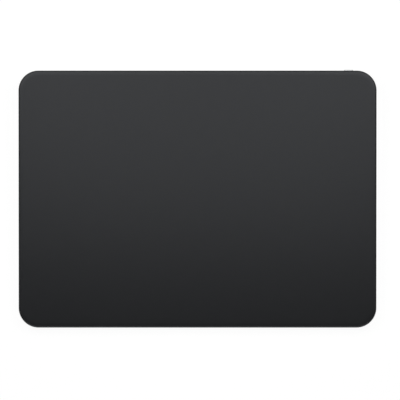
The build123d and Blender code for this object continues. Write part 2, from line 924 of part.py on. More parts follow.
def make_antenna_lead():
    """The thin round cable from the aerial to its socket on the logic board."""
    height = logic_top + lead_lift
    start_y = (antenna_near + antenna_far) / 2
    end_x = -corner_screw_x - antenna_socket / 2
    run = (end_x - antenna_right) / 3
    path = FilletPolyline(
        (antenna_right, start_y, height),
        (antenna_right + run, start_y, height),
        (end_x - run, logic_middle, logic_top + lead_diameter / 2),
        (end_x, logic_middle, logic_top + lead_diameter / 2),
        radius=lead_bend,
    )
    return sweep(Plane(origin=path @ 0, z_dir=path % 0) * Circle(lead_diameter / 2), path=path)


# Touch plate pieces
gasket_inset = 0.35
gasket_width = 0.8
bond_margin = 0.5
touch_chip_size = 8.0
touch_chip_height = 0.9
touch_chip_pitch = 16.0
touch_chip_count = 3
touch_chip_gap = 12.2  # from the battery cells
touch_plug_height = 0.7

touch_chip_y = cell_front - touch_chip_gap - touch_chip_size / 2


def make_glass():
    """The touch surface: a black glass plate as large as the case, which rolls off at its edge."""
    plate = layer(case_outline(0), 0, glass_thickness)
    plate = chamfer(broad_faces(plate)[0].edges(), glass_lower_chamfer)
    top = broad_faces(plate)[-1]
    plate = chamfer(top.edges(), length=glass_roll_width, length2=glass_roll_drop, reference=top)
    return fillet(edges_at(plate, glass_roll_drop), glass_edge_radius)


def make_gasket():
    """A soft foam ring in the gap between the rim and the glass."""
    ring = case_outline(gasket_inset) - case_outline(gasket_inset + gasket_width)
    return layer(ring, glass_thickness, rim_drop)


def make_touch_chips():
    """The touch controllers, hanging under the front of the touch board."""
    chips = []
    for i in range(touch_chip_count):
        x = (i - (touch_chip_count - 1) / 2) * touch_chip_pitch
        outline = Pos(x, touch_chip_y) * Rectangle(touch_chip_size, touch_chip_size)
        chips.append(layer(outline, ceiling_drop, ceiling_drop + touch_chip_height))
    return chips


def make_touch_plug():
    """The connector under the touch board that takes the slack loop's upper end."""
    y = connector_y - touch_loop + touch_tail + touch_plug_depth / 2
    outline = Pos(0, y) * Rectangle(touch_connector_width, touch_plug_depth)
    return layer(outline, ceiling_drop, ceiling_drop + touch_plug_height)


# Floor ribs in front of the battery
rib_width = 1.0
rib_height = 0.4
rib_half_length = 44.0
rib_pitch = 6.0
rib_count = 3


def make_case():
    """The wedge-shaped tub, milled from one piece of aluminium."""
    case = extrude(Pos(0, 0, foot_stand) * case_outline(0), amount=rear_height)
    case = fillet(case.faces().sort_by(Axis.Z)[0].edges(), underside_radius)
    case = case & below_surface(rim_drop)
    case = chamfer(broad_faces(case)[-1].edges(), rim_chamfer)
    pocket = extrude(Pos(0, 0, floor_top) * pocket_outline(0), amount=rear_height)
    case -= fillet(pocket.faces().sort_by(Axis.Z)[0].edges(), pocket_floor_radius)
    case += floor_details()
    case -= threaded_holes()
    case -= port_cut() + switch_cut()
    for row in ("front", "rear"):
        x, y = foot_place(row)
        well = post(x, y, 0, foot_stand + foot_well_depth, foot_diameter + 2 * foot_well_gap)
        case -= well + mirrored(well)
    return case


def boss_list():
    """Every screw boss on the floor, as x, y, top, diameter and thread depth."""
    bosses = []
    for row in ("front", "rear"):
        for x, y in flexure_holes(row):
            for s in (-1, 1):
                bosses.append((s * x, y, flexure_boss_top, flexure_boss, flexure_thread_depth))
    for x, y in logic_screws + clamp_screws:
        bosses.append((x, y, logic_bottom, logic_post, post_thread_depth))
    for x, y in haptic_screws:
        bosses.append((x, y, ear_top, ear_boss, post_thread_depth))
    for x, y in switch_screws:
        bosses.append((x, y, switch_board_bottom, switch_post, post_thread_depth))
    return bosses


def floor_details():
    """Screw bosses, the fences beside the cells, and the ribs in front of them."""
    root = floor_top - floor_thickness / 2
    details = [post(x, y, root, top, diameter) for x, y, top, diameter, depth in boss_list()]
    fence_inner = cell_outer + fence_gap
    fence_outer = fence_inner + fence_width
    fence = block(fence_inner, fence_outer, cell_front, cell_rear, root, floor_top + fence_height)
    details += [fence, mirrored(fence)]
    for i in range(rib_count):
        y = cell_front - (i + 1) * rib_pitch
        near = y - rib_width / 2
        far = y + rib_width / 2
        details.append(block(-rib_half_length, rib_half_length, near, far, root, floor_top + rib_height))
    return details


def threaded_holes():
    """The tapped hole in each boss."""
    return [post(x, y, top - depth, top + overrun, tapped_hole) for x, y, top, diameter, depth in boss_list()]


def port_cut():
    """The plug opening through the wall, and the seat of the port's sleeve behind it."""
    lip_back = rear_face - lip
    opening = extrude(
        facing_rear(0, pocket_rear - overrun, port_height) * SlotOverall(plug_width, plug_height),
        amount=rear_wall + 2 * overrun,
    )
    mouth = facing_rear(0, rear_face - plug_chamfer, port_height)
    outer_mouth = facing_rear(0, rear_face, port_height)
    wide = SlotOverall(plug_width + 2 * plug_chamfer, plug_height + 2 * plug_chamfer)
    flare = loft([mouth * SlotOverall(plug_width, plug_height), outer_mouth * wide])
    seat_width = shell_width + 2 * fit_gap
    seat_height = shell_height + 2 * fit_gap
    seat = extrude(
        facing_rear(0, pocket_rear - overrun, port_height) * SlotOverall(seat_width, seat_height),
        amount=lip_back - pocket_rear + overrun,
    )
    return opening + flare + seat


def switch_cut():
    """The knob's slot through the wall, and the track of the shutter behind it."""
    lip_back = rear_face - lip
    slot = extrude(
        facing_rear(slot_x, pocket_rear, port_height) * SlotOverall(slot_width, slot_height),
        amount=rear_wall + overrun,
    )
    inner_mouth = facing_rear(slot_x, rear_face - slot_chamfer, port_height)
    outer_mouth = facing_rear(slot_x, rear_face, port_height)
    wide = SlotOverall(slot_width + 2 * slot_chamfer, slot_height + 2 * slot_chamfer)
    flare = loft([inner_mouth * SlotOverall(slot_width, slot_height), outer_mouth * wide])
    track_half = (shutter_width + switch_travel) / 2 + knob_end_gap
    half_height = shutter_height / 2 + shutter_gap
    low = port_height - half_height
    high = port_height + half_height
    track = block(slot_x - track_half, slot_x + track_half, pocket_rear - overrun, lip_back, low, high)
    return slot + flare + track


def main():
    """Builds every piece and writes it as a node."""
    os.makedirs("parts", exist_ok=True)

    save("case", make_case())
    for row, side in corners:
        save(f"foot_{row}_{side}", on_side(make_foot(row), side))
    save("rim_gasket", make_gasket())

    save("touch_glass", make_glass())
    save("glass_bond", layer(pocket_outline(touch_board_gap + bond_margin), glass_thickness, board_drop))
    save("touch_board", layer(pocket_outline(touch_board_gap), board_drop, ceiling_drop))
    save("touch_controller_chips", *make_touch_chips())
    save("touch_board_connector", make_touch_plug())
    standoffs = [on_side(make_standoff(row), side) for row, side in corners]
    save("plate_standoffs", *standoffs)
    save("haptic_armature", make_armature())

    for row, side in corners:
        save(f"force_flexure_{row}_{side}", on_side(make_flexure(row), side))
    save("strain_gauges", *[on_side(make_gauge(row), side) for row, side in corners])
    grommets = [on_side(ring, side) for row, side in corners for ring in make_grommets(row)]
    save("isolator_grommets", *grommets)
    flexure_screws = [on_side(each, side) for row, side in corners for each in make_flexure_screws(row)]
    save("flexure_screws", *flexure_screws)

    save("haptic_bracket", make_haptic_bracket())
    save("haptic_core_right", make_core())
    save("haptic_core_left", mirrored(make_core()))
    save("haptic_coils_right", *make_coils())
    save("haptic_coils_left", *[mirrored(coil) for coil in make_coils()])
    ear_depth = bracket_sheet + post_thread_depth - fit_gap
    save("haptic_screws", *[screw(x, y, ear_top + bracket_sheet, ear_depth) for x, y in haptic_screws])

    save("battery_cell_right", make_cell())
    save("battery_cell_left", mirrored(make_cell()))
    save("battery_tapes", *make_cell_tapes(), *[mirrored(tape) for tape in make_cell_tapes()])
    save("battery_guard_boards", make_guard_board(), mirrored(make_guard_board()))
    save("battery_ribbon", make_battery_ribbon())

    save("logic_board", make_logic_board())
    save("radio_shield", make_radio_shield())
    save("logic_chips", *make_logic_chips())
    save("board_connectors", *make_connectors())
    board_depth = logic_thickness + post_thread_depth - fit_gap
    save("logic_board_screws", *[screw(x, y, logic_top, board_depth) for x, y in logic_screws])

    save("charging_port_shell", make_port_shell())
    save("charging_port_tongue", make_port_tongue())
    save("charging_port_contacts", *make_port_contacts())
    save("charging_port_clamp", make_port_clamp())
    clamp_seat = logic_top + clamp_sheet
    save("port_clamp_screws", *[screw(x, y, clamp_seat, board_depth) for x, y in clamp_screws])

    save("switch_knob", make_knob())
    save("switch_shutter", make_shutter())
    save("switch_on_mark", make_on_mark())
    save("switch_body", make_switch_body())
    save("switch_board", make_switch_board())
    switch_depth = switch_board_thickness + post_thread_depth - fit_gap
    save("switch_board_screws", *[screw(x, y, switch_body_bottom, switch_depth) for x, y in switch_screws])

    save("haptic_ribbon", make_haptic_ribbon())
    save("force_ribbon_right", make_force_ribbon())
    save("force_ribbon_left", mirrored(make_force_ribbon()))
    save("touch_ribbon", make_touch_ribbon())
    save("switch_ribbon", make_switch_ribbon())

    save("antenna_carrier", make_antenna_carrier())
    save("antenna_trace", make_antenna_trace())
    save("antenna_lead", make_antenna_lead())


main()
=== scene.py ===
import json
import math

import bpy
import numpy as np
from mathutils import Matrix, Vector


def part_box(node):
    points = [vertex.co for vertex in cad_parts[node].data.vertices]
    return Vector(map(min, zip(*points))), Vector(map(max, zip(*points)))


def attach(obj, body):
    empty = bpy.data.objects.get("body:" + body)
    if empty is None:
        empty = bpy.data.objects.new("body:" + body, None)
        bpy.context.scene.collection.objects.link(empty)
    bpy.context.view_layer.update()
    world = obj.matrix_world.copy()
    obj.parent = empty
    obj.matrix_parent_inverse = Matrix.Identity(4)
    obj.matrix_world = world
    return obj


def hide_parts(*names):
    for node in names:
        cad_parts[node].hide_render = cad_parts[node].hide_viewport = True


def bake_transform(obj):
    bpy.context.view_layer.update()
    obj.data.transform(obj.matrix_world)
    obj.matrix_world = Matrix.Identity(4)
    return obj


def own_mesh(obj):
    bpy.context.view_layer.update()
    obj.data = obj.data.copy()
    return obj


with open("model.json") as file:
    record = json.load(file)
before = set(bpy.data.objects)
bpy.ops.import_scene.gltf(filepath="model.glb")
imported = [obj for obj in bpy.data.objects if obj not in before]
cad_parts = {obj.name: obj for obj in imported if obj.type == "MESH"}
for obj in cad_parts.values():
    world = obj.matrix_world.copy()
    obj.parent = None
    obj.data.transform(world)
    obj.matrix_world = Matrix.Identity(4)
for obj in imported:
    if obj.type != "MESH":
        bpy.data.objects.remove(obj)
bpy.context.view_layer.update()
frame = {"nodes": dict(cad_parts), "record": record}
mm = 0.001  # every size below is written in millimetres times this

# The wedge that all pieces share: the touch surface rises evenly from front to rear
wedge = {
    "width": 160.0 * mm,
    "depth": 114.9 * mm,
    "frontHeight": 4.9 * mm,
    "rearHeight": 10.9 * mm,
    "cornerRadius": 8.9 * mm,
    "leastRadius": 0.1 * mm,
}
wedgeMiddle = (wedge["rearHeight"] + wedge["frontHeight"]) / 2
wedgeSlope = (wedge["rearHeight"] - wedge["frontHeight"]) / wedge["depth"]


def surfaceHeight(y):
    # Height of the touch surface: the middle height plus the slope times the depth
    return wedgeMiddle + wedgeSlope * y


def roundedRings(halfWidth, halfDepth, radius, cornerSteps, sideSteps):
    # Rounded rectangles, one for each radius: four quarter circles, joined by straight runs
    # that are divided evenly, counter-clockwise from the start of the first corner
    sizes = np.broadcast_arrays(halfWidth, halfDepth, radius)
    halfWidth, halfDepth, radius = (np.atleast_1d(size)[:, None] for size in sizes)
    middles = np.stack([halfWidth - radius, halfDepth - radius], -1)
    radius = radius[..., None]
    signs = np.array([[1, 1], [-1, 1], [-1, -1], [1, -1]])
    turn = np.linspace(0, math.pi / 2, cornerSteps + 1)
    share = np.linspace(0, 1, sideSteps + 1)[1:-1, None]
    runs = []
    for i in range(4):
        angle = turn + i * math.pi / 2
        circle = np.stack([np.cos(angle), np.sin(angle)], 1)
        arc = signs[i] * middles + radius * circle
        last = arc[:, -1:]
        following = signs[(i + 1) % 4] * middles + radius * circle[-1]
        runs += [arc, last + (following - last) * share]
    return np.concatenate(runs, 1)


def outlineRings(inset, cornerSteps, sideSteps):
    # The plan outline of the case, drawn in by each inset
    radius = np.maximum(wedge["cornerRadius"] - inset, wedge["leastRadius"])
    halfWidth, halfDepth = wedge["width"] / 2 - inset, wedge["depth"] / 2 - inset
    return roundedRings(halfWidth, halfDepth, radius, cornerSteps, sideSteps)


def circleRings(x, y, radius, steps):
    # Circles around x, y: the middle plus each radius times cosine and sine
    turn = np.linspace(0, 2 * math.pi, steps + 1)[:-1]
    circle = np.stack([np.cos(turn), np.sin(turn)], 1)
    return np.array([x, y]) + np.asarray(radius)[:, None, None] * circle


def withHeight(plan, height):
    # Rings in the plan get a height: one for all, one for each ring, or one for each point
    height = np.broadcast_to(height, plan.shape[:-1])
    return np.concatenate([plan, height[..., None]], -1)


def ringSurface(rings, ends):
    # Vertices and faces of a surface through closed rings of points: quads join neighbouring
    # rings. The ends stay open, are joined to each other, or are closed by fans of triangles.
    count, around = rings.shape[:2]
    vertices = rings.reshape(-1, 3)
    here = np.arange(around)
    there = (here + 1) % around
    first = np.arange(count if ends == "joined" else count - 1)[:, None]
    low, high = first * around, (first + 1) % count * around
    quads = np.stack([low + here, low + there, high + there, high + here], -1).reshape(-1, 4)
    if ends != "closed":
        return vertices, [quads]
    last = (count - 1) * around
    pole = np.full(around, len(vertices))
    nearFan = np.stack([there, here, pole], 1)
    farFan = np.stack([last + here, last + there, pole + 1], 1)
    vertices = np.concatenate([vertices, rings[:1].mean(1), rings[-1:].mean(1)])
    return vertices, [quads, nearFan, farFan]


def makeMesh(name, surfaces, material, smooth):
    # One object from several surfaces: the faces of each count on from the vertices before it
    vertices = np.concatenate([places for places, groups in surfaces])
    faces = []
    offset = 0
    for places, groups in surfaces:
        for group in groups:
            faces += (group + offset).tolist()
        offset += len(places)
    mesh = bpy.data.meshes.new(name)
    mesh.from_pydata(vertices.tolist(), [], faces)
    if smooth:
        mesh.shade_smooth()
    mesh.materials.append(material)
    piece = bpy.data.objects.new(name, mesh)
    bpy.context.scene.collection.objects.link(piece)
    return piece


def makePiece(name, surfaces, slot, replaced, smooth=True):
    # A piece that stands for a CAD node and takes the finish of its slot
    piece = makeMesh(name, surfaces, slotMaterials[slot], smooth)
    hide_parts(replaced)
    return piece


def nodeBox(name):
    # The lowest and highest corners of a CAD node, as two arrays
    low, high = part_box(name)
    return np.array(low), np.array(high)


# Materials


def newMaterial(name):
    # A material with nodes, its tree, and the surface shader that it starts with
    material = bpy.data.materials.new(name)
    material.use_nodes = True
    tree = material.node_tree
    return material, tree, tree.nodes["Principled BSDF"]


def addNode(tree, kind, inputs=None, **settings):
    # Settings come before inputs, because they can change which inputs there are
    node = tree.nodes.new(kind)
    for key, value in settings.items():
        setattr(node, key, value)
    for key, value in (inputs or {}).items():
        if isinstance(value, bpy.types.NodeSocket):
            tree.links.new(value, node.inputs[key])
        else:
            node.inputs[key].default_value = value
    return node


def objectPlace(tree):
    # The place of each point on the piece, in metres from the origin
    return addNode(tree, "ShaderNodeTexCoord").outputs["Object"]


def maths(tree, operation, first, second):
    # One sum or comparison of two values, each a number or another node's socket
    return addNode(tree, "ShaderNodeMath", {0: first, 1: second}, operation=operation).outputs[0]


def mapped(tree, value, fromLow, fromHigh, toLow=0.0, toHigh=1.0):
    # The value moved evenly from one range to the other, and held at its ends
    inputs = {
        "Value": value,
        "From Min": fromLow,
        "From Max": fromHigh,
        "To Min": toLow,
        "To Max": toHigh,
    }
    return addNode(tree, "ShaderNodeMapRange", inputs).outputs["Result"]


def objectNoise(tree, scale, low, high, detail=3.0):
    # Noise in grains per metre. It mostly lies between 0.3 and 0.7, which become low and high.
    inputs = {"Vector": objectPlace(tree), "Scale": scale, "Detail": detail, "Roughness": 0.6}
    noise = addNode(tree, "ShaderNodeTexNoise", inputs)
    return mapped(tree, noise.outputs["Fac"], 0.3, 0.7, low, high), noise.outputs["Fac"]


def blendColour(tree, factor, first, second):
    # Each colour is three numbers or another node's socket
    ends = [(*end, 1) if isinstance(end, tuple) else end for end in (first, second)]
    inputs = {"Factor": factor, "A": ends[0], "B": ends[1]}
    return addNode(tree, "ShaderNodeMix", inputs, data_type="RGBA").outputs["Result"]


def finish(name, darkColour, lightColour, roughness, grain, metallic=0.0, bump=0.0, tint=(1.0, 1.0, 1.0)):
    # A finish whose gloss varies with a fine grain, in grains per metre, and whose colour
    # varies with patches of 40 grains. The bump is the grain's height in metres.
    material, tree, shader = newMaterial(name)
    gloss, fine = objectNoise(tree, grain, *roughness)
    broad, _ = objectNoise(tree, grain / 40, 0.0, 1.0, 2.0)
    colour = blendColour(tree, broad, darkColour, lightColour)
    tree.links.new(colour, shader.inputs["Base Color"])
    tree.links.new(gloss, shader.inputs["Roughness"])
    shader.inputs["Metallic"].default_value = metallic
    shader.inputs["Specular Tint"].default_value = (*tint, 1)
    if bump:
        relief = addNode(tree, "ShaderNodeBump", {"Height": fine, "Distance": bump, "Strength": 1.0})
        tree.links.new(relief.outputs["Normal"], shader.inputs["Normal"])
    return material


def bands(tree, direction, period):
    # Parallel tracks across the given direction: one where a wave of that period is high
    inputs = {"Vector": objectPlace(tree), "Scale": math.pi / 10 / period}
    wave = addNode(tree, "ShaderNodeTexWave", inputs, bands_direction=direction)
    return mapped(tree, wave.outputs["Fac"], 0.5, 0.6)


film = {
    "dark": (0.2, 0.065, 0.01),
    "light": (0.27, 0.095, 0.016),
    "track": (0.5, 0.2, 0.05),
    "trackPeriod": 0.5 * mm,
    "patches": 300.0,
    "grain": 3000.0,
    "roughness": (0.2, 0.28),
}


def trackedFilm(name):
    # A clear brown film with copper tracks along it
    material, tree, shader = newMaterial(name)
    broad, _ = objectNoise(tree, film["patches"], 0.0, 1.0, 2.0)
    plain = blendColour(tree, broad, film["dark"], film["light"])
    colour = blendColour(tree, bands(tree, "X", film["trackPeriod"]), plain, film["track"])
    gloss, _ = objectNoise(tree, film["grain"], *film["roughness"])
    tree.links.new(colour, shader.inputs["Base Color"])
    tree.links.new(gloss, shader.inputs["Roughness"])
    return material


board = {
    "dark": (0.004, 0.03, 0.016),
    "light": (0.006, 0.042, 0.022),
    "track": (0.012, 0.085, 0.042),
    "dot": (0.42, 0.42, 0.4),
    "trackPeriod": 0.7 * mm,
    "cells": 170.0,  # per metre: in each, the tracks run one way
    "turnedShare": 0.5,
    "bareShare": 0.3,
    "dotCells": 420.0,
    "dotEdge": (0.13, 0.1),
    "patches": 400.0,
    "grain": 4000.0,
    "roughness": (0.25, 0.35),
}


def circuitBoard(name):
    # A green mask, lighter over the tracks, which run along X or Y as the colour of a coarse
    # cell says, with small tinned dots at the middles of fine cells
    material, tree, shader = newMaterial(name)
    place = objectPlace(tree)
    inputs = {"Vector": place, "Scale": board["cells"]}
    cells = addNode(tree, "ShaderNodeTexVoronoi", inputs, distance="CHEBYCHEV")
    chance = addNode(tree, "ShaderNodeSeparateColor", {"Color": cells.outputs["Color"]}).outputs
    turned = maths(tree, "GREATER_THAN", chance["Red"], board["turnedShare"])
    routed = maths(tree, "GREATER_THAN", chance["Green"], board["bareShare"])
    lengthwise, crosswise = (bands(tree, direction, board["trackPeriod"]) for direction in "XY")
    chosen = mapped(tree, turned, 0.0, 1.0, lengthwise, crosswise)
    tracks = maths(tree, "MULTIPLY", chosen, routed)
    broad, _ = objectNoise(tree, board["patches"], 0.0, 1.0, 2.0)
    mask = blendColour(tree, broad, board["dark"], board["light"])
    routes = blendColour(tree, tracks, mask, board["track"])
    dots = addNode(tree, "ShaderNodeTexVoronoi", {"Vector": place, "Scale": board["dotCells"]})
    tinned = mapped(tree, dots.outputs["Distance"], *board["dotEdge"])
    colour = blendColour(tree, tinned, routes, board["dot"])
    gloss, _ = objectNoise(tree, board["grain"], *board["roughness"])
    tree.links.new(colour, shader.inputs["Base Color"])
    tree.links.new(gloss, shader.inputs["Roughness"])
    return material


def metal(name, darkColour, lightColour, roughness, grain, metallic=1.0, bump=0.0):
    # The same finish with a metal's reflection
    return finish(name, darkColour, lightColour, roughness, grain, metallic, bump)


print("materials")
slotMaterials = {
    "anodised_aluminium": metal(
        "blastedAluminium", (0.535, 0.54, 0.547), (0.555, 0.56, 0.567), (0.31, 0.45), 6500, bump=1e-5
    ),
    "black_glass": finish(
        "etchedBlackGlass",
        (0.0034, 0.0037, 0.0042),
        (0.0044, 0.0047, 0.0053),
        (0.36, 0.42),
        9000,
        bump=1.2e-6,
        tint=(0.93, 0.955, 1.0),
    ),
    "foot_rubber": finish(
        "footRubber", (0.055, 0.055, 0.058), (0.075, 0.075, 0.078), (0.55, 0.7), 5000, bump=1.2e-5
    ),
    # The foam's black is partly its own colour and partly painted shade: it keeps the gap between glass
    # and case dark
    "gasket_foam": finish(
        "gasketFoamAndGapShade", (0.01, 0.01, 0.01), (0.02, 0.02, 0.02), (0.8, 0.95), 9000, bump=2e-5
    ),
    "adhesive": finish("filmAdhesive", (0.02, 0.02, 0.022), (0.03, 0.03, 0.033), (0.3, 0.4), 3000),
    "circuit_board": circuitBoard("solderMask"),
    "chip_black": finish(
        "mouldedEpoxy", (0.012, 0.012, 0.013), (0.02, 0.02, 0.021), (0.5, 0.65), 12000, bump=2e-6
    ),
    "connector_plastic": finish("creamPlastic", (0.55, 0.5, 0.4), (0.62, 0.57, 0.47), (0.4, 0.5), 6000),
    "spring_steel": metal("springSteel", (0.42, 0.42, 0.43), (0.52, 0.52, 0.53), (0.22, 0.34), 7000),
    "screw_steel": metal("screwSteel", (0.45, 0.45, 0.46), (0.6, 0.6, 0.61), (0.2, 0.32), 9000),
    "sheet_steel": metal("tinnedSheet", (0.6, 0.6, 0.61), (0.7, 0.7, 0.71), (0.25, 0.35), 5000),
    "standoff_aluminium": metal(
        "machinedAluminium", (0.6, 0.61, 0.62), (0.7, 0.71, 0.72), (0.25, 0.35), 8000
    ),
    "core_iron": metal("coreIron", (0.06, 0.06, 0.065), (0.1, 0.1, 0.105), (0.45, 0.6), 6000, 0.6),
    "coil_copper": metal("enamelledCopper", (0.45, 0.15, 0.05), (0.62, 0.24, 0.09), (0.22, 0.3), 6000),
    "contact_gold": metal("goldPlate", (0.75, 0.5, 0.16), (0.85, 0.6, 0.22), (0.15, 0.25), 9000),
    "port_plastic": finish(
        "portPlastic", (0.012, 0.012, 0.013), (0.018, 0.018, 0.019), (0.35, 0.45), 8000
    ),
    "battery_wrap": metal(
        "pouchFoil", (0.42, 0.43, 0.44), (0.52, 0.53, 0.54), (0.3, 0.42), 3000, 0.9, 5e-6
    ),
    "tape": finish("whiteTape", (0.7, 0.7, 0.67), (0.78, 0.78, 0.75), (0.6, 0.7), 4000),
    "ribbon_film": finish("amberFilm", (0.3, 0.1, 0.012), (0.42, 0.16, 0.025), (0.2, 0.28), 3000),
    "grommet_gel": finish("siliconeGel", (0.015, 0.02, 0.04), (0.025, 0.03, 0.055), (0.3, 0.42), 4000),
    "shutter_plastic": finish(
        "shutterPlastic", (0.013, 0.013, 0.014), (0.02, 0.02, 0.021), (0.4, 0.5), 9000
    ),
    "mark_green": finish("greenMark", (0.01, 0.36, 0.05), (0.02, 0.42, 0.07), (0.3, 0.4), 5000),
    "lead_jacket": finish("leadJacket", (0.02, 0.02, 0.022), (0.03, 0.03, 0.033), (0.4, 0.5), 5000),
}
for part in frame["record"]["subparts"]:
    materials = frame["nodes"][part["node"]].data.materials
    for i in range(len(materials)):
        materials[i] = slotMaterials[part["material_slot"]]
trackFilm = trackedFilm("trackFilm")
frame["nodes"]["haptic_ribbon"].data.materials[0] = trackFilm


# Glass plate

glass = {
    "thickness": 1.1 * mm,
    "rollWidth": 2.0 * mm,
    "rollDrop": 0.1005 * mm,
    "rollBlend": 6.0 * mm,
    "edgeRadius": 0.85 * mm,
    "lowerChamfer": 0.1 * mm,
    "flatInset": 6.0 * mm,
    "blendSteps": 8,
    "edgeSteps": 8,
    "cornerSteps": 28,
    "sideSteps": 10,
}


def glassProfile():
    # Inset and drop from the lower face to the flat: the side turns by a small circle into
    # the sloping roll, and the roll by a large circle into the flat. Each circle reaches its
    # radius times the tangent of half its turn along both lines from where they would meet.
    slant = math.atan(glass["rollDrop"] / glass["rollWidth"])
    side = math.pi / 2 - slant
    reach = glass["edgeRadius"] * math.tan(side / 2)
    turn = np.linspace(0, side, glass["edgeSteps"])
    edgeInset = glass["edgeRadius"] * (1 - np.cos(turn))
    edgeDrop = glass["rollDrop"] + reach - glass["edgeRadius"] * np.sin(turn)
    reach = glass["rollBlend"] * math.tan(slant / 2)
    turn = np.linspace(slant, 0, glass["blendSteps"])
    blendInset = glass["rollWidth"] + reach - glass["rollBlend"] * np.sin(turn)
    blendDrop = glass["rollBlend"] * (1 - np.cos(turn))
    low, chamfer, flat = glass["thickness"], glass["lowerChamfer"], glass["flatInset"]
    inset = np.concatenate([[flat, chamfer, 0], edgeInset, blendInset, [flat]])
    drop = np.concatenate([[low, low, low - chamfer], edgeDrop, blendDrop, [0]])
    return inset, drop


def makeGlass():
    # Rings of the outline at each inset and drop of the profile
    inset, drop = glassProfile()
    plan = outlineRings(inset, glass["cornerSteps"], glass["sideSteps"])
    rings = withHeight(plan, surfaceHeight(plan[..., 1]) - drop[:, None])
    piece = makePiece("glassPlate", [ringSurface(rings, "closed")], "black_glass", "touch_glass")
    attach(piece, "touch_plate")


print("glass plate")
makeGlass()


# Foam gasket, a dust seal whose black is also painted shade in the gap under the glass edge

gasket = {
    "inset": 0.35 * mm,
    "width": 0.8 * mm,
    "upperDrop": 1.1 * mm,
    "lowerDrop": 1.45 * mm,
    "pressTravel": 0.25 * mm,
    "squareness": 0.45,
    "sectionSteps": 20,
    "cornerSteps": 24,
    "sideSteps": 40,
}


def makeGasket():
    # A ring whose section is a rounded box: cosine and sine raised to a small power.
    halfWidth = gasket["width"] / 2
    halfHeight = (gasket["lowerDrop"] - gasket["upperDrop"]) / 2
    turn = np.linspace(0, 2 * math.pi, gasket["sectionSteps"] + 1)[:-1]
    circle = np.stack([np.cos(turn), np.sin(turn)])
    across, up = np.sign(circle) * np.abs(circle) ** gasket["squareness"]
    inset = gasket["inset"] + halfWidth * (1 - across)
    plan = outlineRings(inset, gasket["cornerSteps"], gasket["sideSteps"])
    middle = surfaceHeight(plan[..., 1]) - gasket["upperDrop"] - halfHeight
    rings = withHeight(plan, middle + halfHeight * up[:, None])
    # Partly a real seal, partly painted shade: the black ring keeps the gap under the glass edge dark
    # under any lamp
    piece = makePiece("foamGasketAndGapShade", [ringSurface(rings, "joined")], "gasket_foam", "rim_gasket")
    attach(piece, "housing")
    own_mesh(piece)


print("foam gasket")
makeGasket()


# Force flexures

flexure = {
    "cornerRadius": 1.0 * mm,
    "notchRadius": 2.2 * mm,
    "clampedLength": 6.0 * mm,
    "tipLength": 5.0 * mm,
    "steps": 96,
}
flexureEnds = [(row, side) for row in ("front", "rear") for side in ("left", "right")]


def makeFlexure(row, side):
    # A thin bar along X. Its half width is full but for round corners at both ends and a
    # round notch at half length, where the bar thins by the height of the notch's circle.
    node = "force_flexure_%s_%s" % (row, side)
    low, high = nodeBox(node)
    length, width = high[0] - low[0], high[1] - low[1]
    middle = (low[1] + high[1]) / 2
    along = np.linspace(0, length, flexure["steps"] + 1)
    fromEnd = np.minimum(along, length - along)
    corner = flexure["cornerRadius"]
    rounding = corner - np.sqrt(corner**2 - np.clip(corner - fromEnd, 0, corner) ** 2)
    notch = np.sqrt(np.clip(flexure["notchRadius"] ** 2 - (along - length / 2) ** 2, 0, None))
    half = width / 2 - rounding - notch
    rings = np.empty((len(along), 4, 3))
    rings[..., 0] = (low[0] + along)[:, None]
    rings[..., 1] = middle + half[:, None] * [1, -1, -1, 1]
    rings[..., 2] = [high[2], high[2], low[2], low[2]]
    name = "flexure" + row.title() + side.title()
    piece = makePiece(name, [ringSurface(rings, "closed")], "spring_steel", node, smooth=False)
    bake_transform(piece)


print("force flexures")
for row, side in flexureEnds:
    makeFlexure(row, side)


# Grommets

grommet = {
    "flangeRadius": 2.0 * mm,
    "neckRadius": 1.6 * mm,
    "boreRadius": 0.8 * mm,
    "flangeHeight": 0.2 * mm,
    "softness": 0.07 * mm,
    "holeFromEnd": 3.0 * mm,
    "holeSpacing": 5.6 * mm,
    "steps": 40,
}


def grommetPlaces():
    # Two holes near the outer end of each flexure, as x, y
    places = []
    for row, side in flexureEnds:
        low, high = nodeBox("force_flexure_%s_%s" % (row, side))
        x = high[0] - grommet["holeFromEnd"] if side == "right" else low[0] + grommet["holeFromEnd"]
        middle = (low[1] + high[1]) / 2
        places += [(x, middle + sign * grommet["holeSpacing"] / 2) for sign in (-1, 1)]
    return places


def makeGrommetHalves(name, outerFace, middleFace):
    # Turned rings between the face on the case or screw and the middle of the flexure: up
    # the bore, out over the neck, and round the soft edge of the flange
    inward = 1 if middleFace > outerFace else -1
    flange = outerFace + inward * grommet["flangeHeight"]
    soft = grommet["softness"]
    section = np.array([
        (grommet["boreRadius"], middleFace),
        (grommet["boreRadius"], outerFace),
        (grommet["flangeRadius"] - soft, outerFace),
        (grommet["flangeRadius"], outerFace + inward * soft),
        (grommet["flangeRadius"], flange - inward * soft),
        (grommet["flangeRadius"] - soft, flange),
        (grommet["neckRadius"], flange),
        (grommet["neckRadius"], middleFace),
    ])[::inward]
    surfaces = []
    for x, y in grommetPlaces():
        plan = circleRings(x, y, section[:, 0], grommet["steps"])
        surfaces.append(ringSurface(withHeight(plan, section[:, 1:]), "joined"))
    piece = makePiece(name, surfaces, "grommet_gel", "isolator_grommets", smooth=False)
    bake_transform(piece)


def makeGrommets():
    # A lower half on the case's bosses and an upper half under the screw heads
    low, high = nodeBox("isolator_grommets")
    middle = (low[2] + high[2]) / 2
    makeGrommetHalves("grommetsLower", low[2], middle)
    makeGrommetHalves("grommetsUpper", high[2], middle)


print("grommets")
makeGrommets()


# Haptic coils

coil = {
    "count": 3,
    "pitch": 8.6 * mm,
    "winding": 0.7 * mm,
    "cap": 0.4 * mm,
    "boreRadius": 0.05 * mm,
    "turns": 15,
    "turnSteps": 6,
    "cornerSteps": 5,
    "sideSteps": 4,
}


